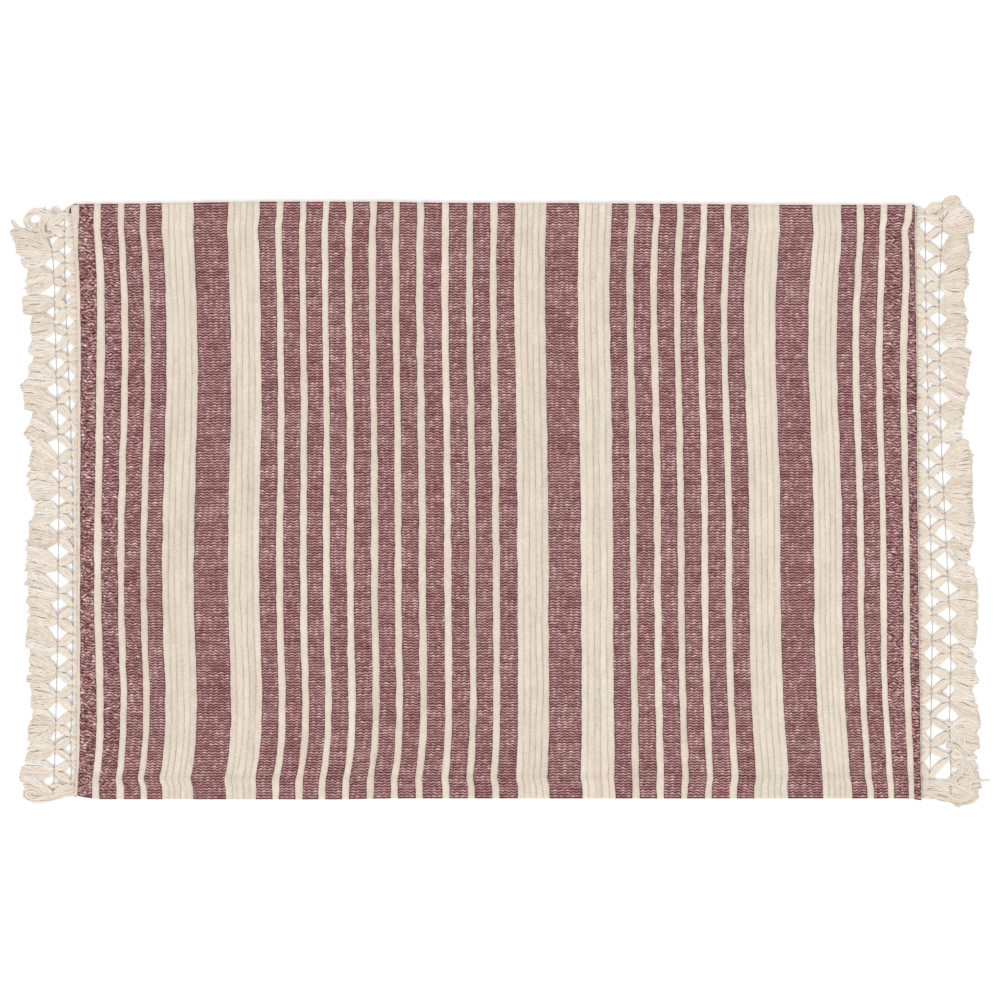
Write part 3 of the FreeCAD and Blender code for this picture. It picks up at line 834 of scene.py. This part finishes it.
# Each tassel: where its cut end starts and stops across the mat, and how far out it
# reaches at the start, middle and stop.
LEFT_TASSELS = [
    (243, 229, -397, -399, -408), (227, 196, -411, -407, -399), (194, 174, -397, -399, -396),
    (171, 158, -402, -402, -401), (155, 136, -392, -396, -393), (134, 117, -395, -396, -391),
    (115, 95, -396, -396, -403), (98, 78, -403, -400, -400), (76, 57, -392, -394, -400),
    (57, 29, -400, -392, -397), (26, 3, -394, -397, -394), (0, -19, -390, -392, -396),
    (-17, -36, -396, -396, -396), (-38, -56, -400, -398, -399), (-58, -85, -396, -397, -396),
    (-82, -102, -395, -396, -397), (-101, -123, -397, -398, -398), (-124, -150, -395, -396, -397),
    (-151, -172, -395, -394, -395), (-174, -201, -392, -396, -396), (-202, -218, -392, -398, -399),
    (-216, -232, -399, -402, -404), (-230, -241, -404, -404, -394), (-243, -252, -399, -399, -397)]
RIGHT_TASSELS = [
    (255, 247, 384, 387, 389), (248, 226, 390, 398, 398), (226, 201, 391, 394, 393),
    (201, 170, 392, 394, 389), (172, 150, 389, 390, 394), (152, 128, 394, 391, 389),
    (126, 96, 397, 393, 389), (97, 81, 389, 395, 389), (82, 65, 389, 391, 386),
    (65, 51, 387, 389, 387), (51, 20, 393, 396, 396), (21, -5, 396, 397, 397),
    (-4, -35, 397, 398, 397), (-36, -54, 395, 394, 391), (-56, -76, 397, 400, 401),
    (-76, -98, 401, 401, 403), (-98, -121, 401, 401, 399), (-123, -143, 391, 402, 397),
    (-143, -161, 398, 402, 396), (-161, -185, 396, 401, 403), (-183, -208, 403, 402, 402),
    (-208, -230, 400, 401, 400), (-230, -252, 401, 404, 391)]
# Binder rows: place along the mat at a few places across it.
ROWS = {
    ("left", 0): ([-233, -195, -166, -116, -65, 15, 68, 127, 169, 227], [-359.3, -359.7, -358.5, -358.0, -358.0, -358.0, -360.1, -362.4, -364.3, -365.2]),
    ("left", 1): ([-242, -208, -166, -116, -49, 18, 85, 127, 148, 186, 209, 224, 249], [-374.4, -372.7, -371.9, -370.6, -370.2, -369.4, -371.0, -372.2, -373.0, -373.5, -375.2, -379.4, -382.0]),
    ("right", 0): ([-233, -166, -99, -49, 18, 85, 169, 211, 245], [360.1, 361.4, 362.2, 361.2, 359.3, 358.6, 356.8, 356.3, 356.0]),
    ("right", 1): ([-225, -183, -134, -99, -66, -32, 18, 68, 127, 170, 211, 240], [377.7, 376.5, 377.7, 376.9, 375.2, 373.7, 371.0, 368.9, 368.1, 367.7, 369.4, 371.0])}


def row_x(side, which, t):
    ts, xs = ROWS[(side, which)]
    return np.interp(t, ts, xs)


def cloth_end(side, t):
    s = np.full(np.shape(t), LEFT_END if side == "left" else RIGHT_END)
    return place(s, np.asarray(t, float), np.zeros(np.shape(t)), ease=False)[..., 0]


def crinkle(paths, r, amount, cells=3.0):
    """Slight waves in every strand, none at its start."""
    n, p, _ = paths.shape
    u = np.linspace(0, 1, p)
    env = smooth(u / 0.25)[None, :]
    out = paths.copy()
    for axis, a in ((0, amount), (1, amount), (2, amount * 0.5)):
        f = cells * (0.6 + 0.9 * r.random((n, 1)))
        out[..., axis] += env * a * np.sin(2 * np.pi * (f * u[None, :] + r.random((n, 1)))) * (0.4 + r.random((n, 1)))
    return out


def floor_clip(paths, radius):
    paths[..., 2] = np.maximum(paths[..., 2], np.max(radius) * 1.1 + 0.05)
    return paths


def fringe(side):
    sg = -1.0 if side == "left" else 1.0
    end = LEFT_END if side == "left" else RIGHT_END
    inner = LEFT_INNER if side == "left" else RIGHT_INNER
    outer = LEFT_OUTER if side == "left" else RIGHT_OUTER
    tassels = LEFT_TASSELS if side == "left" else RIGHT_TASSELS
    r = np.random.default_rng(31 if side == "left" else 37)
    bundles, ends = Yarns(), Yarns()
    g = np.array(inner)
    mids = np.concatenate([[248.0], (g[1:] + g[:-1]) / 2, [-248.0]])
    for j, gy in enumerate(inner):
        xr = row_x(side, 0, gy)
        for sy, far in ((1, mids[j]), (-1, mids[j + 1])):
            # a full, curved petal: out of the cloth between two gathers, along it, into the gather
            h = abs(far - gy)
            n = int(np.clip(h * 1.8, 11, 20))
            lat = np.linspace(-1, 1, n) * (0.92 + 0.08 * r.random(n))
            ver = (2 * r.random(n) - 1) * np.sqrt(np.maximum(1 - lat ** 2, 0.15))
            f = (lat + 1) / 2
            y0 = np.clip(gy + sy * h * (0.14 + 0.82 * f + 0.05 * (r.random(n) - 0.5)), -247.0, 247.0)
            xe = cloth_end(side, y0)
            root = np.stack([xe - sg * 1.8, y0, 1.5 + 0.5 * ver], -1)
            p0 = np.stack([xe + sg * 0.1, y0, 1.5 + 0.6 * ver], -1)
            out = abs(xr - xe.mean())
            wide = 0.7 + 0.5 * r.random()
            p1 = np.stack([xe + sg * out * (0.10 + 0.44 * f * wide), y0 + sy * 0.04 * h * (1 - f), 1.55 + 0.5 * ver], -1)
            p2 = np.stack([xr - sg * out * (0.52 - 0.22 * f), gy + sy * (1.0 + 0.52 * h * f * wide), 1.6 + 0.5 * ver], -1)
            p3 = np.stack([xr + 0.6 * (r.random(n) - 0.5), gy + sy * (0.45 + 0.95 * f), 1.5 + 0.6 * ver], -1)
            path = np.concatenate([root[:, None, :], bezier(p0, p1, p2, p3, 9)], 1)
            path = crinkle(path, r, 0.16)
            rad = 0.62 + 0.14 * r.random(n)
            path = floor_clip(path, rad)
            u = np.linspace(0, 1, path.shape[1])[None, :]
            shade = 0.10 * (1 - smooth(u / 0.2)) * (0.3 + 1.4 * r.random((n, 1))) + 0.03 * np.exp(-((u - 1) / 0.10) ** 2)
            bundles.add(path, rad, 0.5 + 0.45 * (r.random(n) - 0.5), shade, ply=0.12, turns=1.5, tilt=r.random(n) * 6, sides=5)
        # short strands low in the tuck between the two petals, painted darker as shade
        n = 5
        v = np.linspace(-1, 1, n)
        y0 = np.clip(gy + v * 2.6, -247.0, 247.0)
        xe = cloth_end(side, y0)
        p0 = np.stack([xe - sg * 1.2, y0, 1.2 + 0 * v], -1)
        p3 = np.stack([xr + 0 * v, gy + 0.8 * v, 1.0 + 0 * v], -1)
        p1 = p0 + np.array([sg * 3.2, 0, -0.3]); p2 = p3 + np.stack([-sg * 2.5 + 0 * v, 0.9 * v, -0.2 + 0 * v], -1)
        p0[:, 2] = 1.5; p1[:, 2] = 1.5; p2[:, 2] = 1.4
        path = floor_clip(bezier(p0, p1, p2, p3, 9), 0.5)
        u = np.linspace(0, 1, 9)[None, :]
        # painted shade in the tuck, strongest near the cloth end
        dark = 0.55 * r.random() ** 2.2 * (0.6 + 0.6 * r.random((n, 1)))
        bundles.add(path, 0.7, 0.35 + 0.3 * r.random(n), dark * (1 - smooth((u - 0.25) / 0.35)) + 0.04, ply=0.12, turns=1.5, sides=5)
    # half bundles from each inner gather to the two outer gathers beside it
    for k, oy in enumerate(outer):
        if side == "left" and k == 0:
            continue
        xo = row_x(side, 1, oy)
        for j in (k - 1, k):
            if j < 0 or j >= len(inner):
                continue
            gy, xr = inner[j], row_x(side, 0, inner[j])
            n = 20
            ver = np.where(np.arange(n) % 2 == 0, 0.45, -0.55) + 0.5 * (r.random(n) - 0.5)
            lat = np.linspace(-1, 1, n) + 0.10 * (r.random(n) - 0.5)
            d = np.array([xo - xr, oy - gy]); ln = np.hypot(*d); d = d / max(ln, 1e-6)
            nrm = np.array([-d[1], d[0]])
            u = np.linspace(0, 1, 9)
            fat = 0.65 + (1.6 + 1.3 * r.random()) * np.sin(np.pi * np.clip(u ** (0.75 + 0.35 * r.random()), 0, 1)) ** 1.15
            bow = (0.9 if j == k else -0.9) * sg * np.sin(np.pi * u) * (0.1 + 1.8 * r.random())
            sy = np.sign(oy - gy)
            base = np.stack([xr + (xo - xr) * u, (gy + sy * 0.7) + (oy - sy * 0.7 - gy - sy * 0.7) * u], -1)
            off = lat[:, None] * fat[None, :] + bow[None, :]
            xy = base[None] + off[..., None] * nrm[None, None]
            z = 1.45 + ver[:, None] * (0.55 + 0.45 * np.sin(np.pi * u))[None, :] + 0.15 * np.sin(np.pi * u)[None, :]
            path = np.concatenate([xy, z[..., None]], -1)
            path = crinkle(path, r, 0.26)
            rad = 0.62 + 0.16 * r.random(n)
            path = floor_clip(path, rad)
            shade = 0.04 * (np.exp(-(u / 0.10) ** 2) + np.exp(-((u - 1) / 0.10) ** 2))[None, :] + 0 * lat[:, None]
            bundles.add(path, rad, 0.5 + 0.45 * (r.random(n) - 0.5), shade, ply=0.12, turns=1.5, tilt=r.random(n) * 6, sides=5)
            if r.random() < 0.45:                      # a strand or two slack beside the rest
                m = 1 + int(r.random() < 0.5)
                slack = (r.random((m, 1)) * 2.6 + 2.4) * np.sign(r.random((m, 1)) - 0.4) * (-sg if j == k else sg)
                xy = base[None] + (slack * np.sin(np.pi * u)[None, :])[..., None] * nrm[None, None]
                path = crinkle(np.concatenate([xy, np.full((m, 9, 1), 1.3)], -1), r, 0.5)
                bundles.add(floor_clip(path, 0.5), 0.5, 0.5, 0.02, ply=0.12, turns=1.5, sides=5)
    # tassels
    for k, oy in enumerate(outer):
        if side == "left":
            if k < 2:
                continue
            y_a, y_b, x_a, x_m, x_b = tassels[k - 1]
        else:
            y_a, y_b, x_a, x_m, x_b = tassels[k]
        xo = row_x(side, 1, oy)
        width = abs(y_a - y_b)
        n = int(np.clip(width * 2.1, 14, 54))
        y_a, y_b = y_a + 1.0, y_b - 1.0
        width += 2.0
        v = np.linspace(-1, 1, n) + 0.10 * (r.random(n) - 0.5)
        w = r.random(n)
        ty = (y_a + y_b) / 2 + v * width / 2
        along = np.clip((y_a - ty) / max(width, 1e-6), 0, 1)
        tx = np.interp(along, [0, 0.5, 1], [x_a, x_m, x_b])
        # the strands hang together in two to four locks that bend their own way
        messy = smooth((-90.0 - oy) / 60.0) if side == "right" else 0.0
        locks = int(np.clip(round(width / 8.0 + r.random() - 0.3), 2, 4))
        lock = np.clip(((v + 1) / 2 * locks + 0.35 * (r.random(n) - 0.5)).astype(int), 0, locks - 1)
        mid = (y_a + y_b) / 2 + ((lock + 0.5) / locks * 2 - 1) * width / 2
        bend = ((3.4 + 4.5 * messy) * (r.random(locks) - 0.5))[lock]
        high = (0.55 * (r.random(locks) - 0.5))[lock]
        ty = mid + (ty - mid) * (0.90 - 0.18 * r.random(locks))[lock] + 0.5 * bend
        tx = tx + sg * (2.4 * r.random(locks) - 1.7)[lock] * (0.7 + 0.5 * messy)
        # a few strands stop short or stray past the rest
        tx = tx - sg * (0.4 + 3.2 * r.random(n) ** 3)
        tx = tx + sg * np.where(r.random(n) < 0.06, 2.5 * r.random(n), 0)
        z_tip = 1.0 + 0.8 * r.random(n)
        start = np.stack([xo + sg * 0.0 + 0 * v, oy + v * 1.35, 1.5 + 1.0 * (w - 0.5)], -1)
        reach = np.abs(tx - xo)
        fan = np.clip(width / 2, 6, 13)
        lean = (r.random() - 0.5) * 4.0
        stray = np.where(r.random(n) < 0.22 + 0.3 * messy, (5.0 + 7.0 * messy) * (r.random(n) - 0.5), 0.0)
        sweep = 5.0 * (r.random() - 0.5)
        c1 = start + np.stack([sg * reach * (0.20 + 0.06 * r.random(n)), v * fan * 0.86 + 0.2 * lean, 0.6 * (w - 0.4)], -1)
        c2 = np.stack([xo + sg * reach * 0.62, oy + (ty - oy) * 0.96 + v * 1.6 + lean * 0.6 + sweep * 0.6 + stray - bend, 1.6 + high + 0.8 * (r.random(n) - 0.5)], -1)
        ty = ty + 0.5 * stray * r.random(n)
        tip = np.stack([tx, ty, z_tip], -1)
        path = bezier(start, c1, c2, tip, 12)
        path = crinkle(path, r, 0.40, 2.2)
        rad = 0.60 + 0.15 * r.random(n)
        path = floor_clip(path, rad)
        path[..., 2] = np.minimum(path[..., 2], 2.35)
        u = np.linspace(0, 1, 12)[None, :]
        shade = 0.05 * np.exp(-(u / 0.08) ** 2) + 0.04 * (w[:, None] < 0.25) * smooth(u / 0.5)
        vary = 0.50 + 0.55 * (noise(v * 2.2 + 9, k * 3.1 + 0.5, 60) - 0.5) + 0.40 * (r.random(n) - 0.5) + 0.35 * (r.random(locks) - 0.5)[lock]
        ends.add(path, rad, vary, shade, ply=0.12, turns=1.4, tilt=r.random(n) * 6, taper=0.8, sides=5)
        # the strands underneath, seen only through the gaps, painted lighter than the rest to lift the shade there
        low = path[1::2].copy()
        low[:, :, 0] = xo + (low[:, :, 0] - xo) * 0.93
        low[:, :, 2] = 1.08
        ends.add(low[:, ::2], 0.96, 0.70, 0.0, taper=0.8, sides=5)
    return bundles, ends


def loose(points, n, spread, r, pts=22):
    """A few strands together along one free curve through the given points."""
    p = np.array(points, float)
    d = np.concatenate([[0], np.cumsum(np.linalg.norm(np.diff(p, axis=0), axis=1))])
    u = np.linspace(0, d[-1], 200)
    fine = np.stack([np.interp(u, d, p[:, i]) for i in range(3)], -1)
    ker = np.hanning(41); ker /= ker.sum()
    pad = np.concatenate([np.repeat(fine[:1], 20, 0), fine, np.repeat(fine[-1:], 20, 0)])
    sm = np.stack([np.convolve(pad[:, i], ker, "valid") for i in range(3)], -1)
    idx = np.linspace(0, len(sm) - 1, pts).astype(int)
    c = sm[idx]
    tan = np.gradient(c, axis=0); tan /= np.linalg.norm(tan, axis=1, keepdims=True) + 1e-9
    nrm = np.stack([-tan[:, 1], tan[:, 0], 0 * tan[:, 0]], -1)
    lat = (r.random((n, 1)) * 2 - 1) * spread
    ver = (r.random((n, 1)) * 2 - 1) * min(spread * 0.4, 0.6)
    wob = 0.35 * spread * np.sin(2 * np.pi * (np.linspace(0, 1, pts)[None, :] * (1 + 2 * r.random((n, 1))) + r.random((n, 1))))
    path = c[None] + (lat + wob)[..., None] * nrm[None]
    path[..., 2] += ver
    return path


LOOSE = {
    "left": [
        # the corner bundle that runs out along the hem and curls back on itself
        ([(-353, 240.5, 1.8), (-360, 240.5, 1.9), (-367, 240, 2.0), (-374, 239.0, 2.0), (-379, 240.0, 2.0), (-384, 241.0, 2.0)], 15, 2.4),
        ([(-374, 238.5, 2.0), (-380, 240.5, 2.2), (-386, 242.3, 2.3), (-392, 242.6, 2.3), (-396.6, 239.0, 2.3), (-397.2, 233.5, 2.2), (-394.6, 229.4, 2.0), (-390.0, 229.0, 1.9), (-386.8, 231.5, 1.8)], 16, 1.9),
        ([(-371, 240.5, 2.2), (-377, 239.5, 2.2), (-382, 236, 2.2), (-384.0, 230, 2.1), (-383, 222, 2.0), (-380, 214, 1.9), (-377, 208.5, 1.8)], 14, 2.1),
        ([(-370.5, 239.5, 2.4), (-370.0, 243.8, 2.6), (-373.2, 246.6, 2.7), (-376.4, 243.8, 2.6), (-375.6, 239.6, 2.4), (-372, 238.5, 2.2)], 6, 0.8),
        ([(-383, 224, 1.8), (-391, 222.5, 1.9), (-399, 224.5, 1.9), (-405, 229.5, 1.8), (-410, 236, 1.5)], 3, 0.8),
        ([(-364, 229, 1.8), (-371, 226.5, 1.8), (-377.5, 222, 1.8), (-382, 224, 2)], 10, 1.6),
        # the front corner, rolled into a loose loop
        ([(-352, -240, 1.8), (-359, -243.5, 2.0), (-368, -246, 2.0), (-379, -248.5, 2.0), (-390, -250, 2.0), (-397, -248, 1.9), (-398.5, -244.5, 1.8), (-394, -242.0, 1.8), (-386, -243.5, 1.9)], 16, 2.2),
        ([(-360, -243.5, 1.3), (-372, -245.5, 1.3), (-384, -246, 1.3), (-393, -245.8, 1.3)], 6, 2.0),
        ([(-356, -238, 1.9), (-364, -241, 2.0), (-370, -238, 2.1), (-377, -239, 1.9)], 8, 1.4)],
    "right": [
        ([(348, 241, 1.8), (357, 240, 1.9), (366, 238, 2.0), (372, 243, 2.1), (379, 250, 2.0), (385, 254, 1.7)], 9, 1.6),
        ([(349, -243, 1.8), (360, -245.5, 1.9), (372, -246.5, 2.1), (384, -250.5, 2.1), (393, -250, 2.0), (400, -244, 1.8)], 18, 3.4),
        ([(352, -239, 1.9), (363, -237, 2.1), (376, -236.5, 2.2), (389, -241.0, 2.2), (398, -246, 2.0)], 13, 2.8),
        ([(352, -242, 1.0), (366, -243, 1.0), (382, -245, 1.0), (397, -247, 1.0)], 9, 4.2),
        ([(378, -228, 2.2), (392, -230, 2.2), (402, -234, 1.9), (411, -233.6, 1.4)], 3, 0.6),
        ([(373, -204, 2.3), (382, -206, 2.4), (389, -213, 2.4), (388, -224, 2.4), (381, -232, 2.2), (372, -238, 1.9)], 11, 2.2),
        ([(372, -186, 1.9), (380, -188, 2.0), (387, -196, 2.0), (389, -208, 2.0), (396, -221, 1.9)], 8, 3.6),
        ([(378, -222, 2.2), (386, -218, 2.4), (393, -222, 2.4), (396, -232, 2.2), (391, -240, 2.0)], 9, 2.2)]}

fringe_pieces = {}
for side in ("left", "right"):
    body = side + "_fringe"
    bundles, ends = fringe(side)
    r = np.random.default_rng(91 if side == "left" else 97)
    for pts, n, spread in LOOSE[side]:
        path = floor_clip(loose(pts, n, spread, r), 0.75)
        near = abs(pts[0][0]) < 361
        (bundles if near else ends).add(path, 0.56 + 0.14 * r.random(n), 0.5 + 0.5 * (r.random(n) - 0.5), 0.02 + 0.08 * (r.random(n) < 0.25),
                                        ply=0.16, turns=1.4, tilt=r.random(n) * 6)
    pb = bundles.build(side + "_bundles", MAT_F)
    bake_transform(pb)
    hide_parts(side + "_fringe_bundles")
    pt = ends.build(side + "_tassel_yarns", MAT_F)
    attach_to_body(pt, body)
    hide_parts(side + "_tassels")
    fringe_pieces[side] = [pb, pt]
    # binder threads: two fine threads twisted round each other between the gathers
    for which, word in ((0, "inner"), (1, "outer")):
        gathers = (LEFT_INNER if side == "left" else RIGHT_INNER) if which == 0 else (LEFT_OUTER if side == "left" else RIGHT_OUTER)
        lo_t, hi_t = (-243.0, 243.5) if which == 0 else (-245.5, 247.0)
        n = 700
        t = np.linspace(lo_t, hi_t, n)
        near = np.min(np.abs(t[:, None] - np.array(gathers)[None, :]), axis=1)
        open_ = np.exp(-(near / 2.1) ** 2)
        x = row_x(side, which, t)
        tw = 2 * np.pi * t / 2.2
        rr = 0.22
        threads = []
        for sign in (1, -1):
            zc = 1.5 + sign * 1.45 * open_
            px = x + sign * rr * np.cos(tw) * (1 - open_)
            pz = zc + sign * rr * np.sin(tw) * (1 - open_)
            threads.append(np.stack([px, t, np.maximum(pz, 0.35)], -1))
        yb = Yarns()
        yb.add(np.array(threads), 0.27, 0.5, sides=6)
        ob = yb.build("%s_%s_binder" % (side, word), MAT_T)
        if which == 0:
            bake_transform(ob)
        else:
            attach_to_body(ob, body)
        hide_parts("%s_%s_binder_thread" % (side, word))
        fringe_pieces[side].append(ob)

# ------------------------------------------------------------------ floor, light, camera
floor = bpy.data.meshes.new("floor")
R = 6.0
floor.from_pydata([(-R, -R, -0.0002), (R, -R, -0.0002), (R, R, -0.0002), (-R, R, -0.0002)], [], [(0, 1, 2, 3)])
floor_ob = bpy.data.objects.new("floor", floor)
bpy.context.scene.collection.objects.link(floor_ob)
fm = bpy.data.materials.new("studio_floor")
fm.use_nodes = True
fb = fm.node_tree.nodes["Principled BSDF"]
fb.inputs["Base Color"].default_value = (0.985, 0.985, 0.985, 1)
fb.inputs["Roughness"].default_value = 1.0
fb.inputs["Specular IOR Level"].default_value = 0.0
floor.materials.append(fm)

scene = bpy.context.scene
world = bpy.data.worlds.new("studio")
world.use_nodes = True
bg = world.node_tree.nodes["Background"]
bg.inputs["Color"].default_value = (1, 1, 1, 1)
bg.inputs["Strength"].default_value = 1.0
scene.world = world
for name, energy, angle, rot in (("key", 1.25, 38, (math.radians(38), math.radians(-22), 0)),
                                 ("fill", 0.2, 60, (math.radians(-45), math.radians(30), 0))):
    sun = bpy.data.lights.new(name, "SUN")
    sun.energy = energy
    sun.angle = math.radians(angle)
    so = bpy.data.objects.new(name, sun)
    so.rotation_euler = rot
    scene.collection.objects.link(so)

cam = bpy.data.cameras.new("camera")
cam.sensor_width = 36.0
cam.lens = 36.0 * 4.0 / 0.8375
cam.clip_end = 100
co = bpy.data.objects.new("camera", cam)
co.location = (0.0, 0.001256, 4.003)
scene.collection.objects.link(co)
scene.camera = co
scene.view_settings.view_transform = "Standard"
scene.view_settings.look = "None"
scene.view_settings.exposure = 0.0
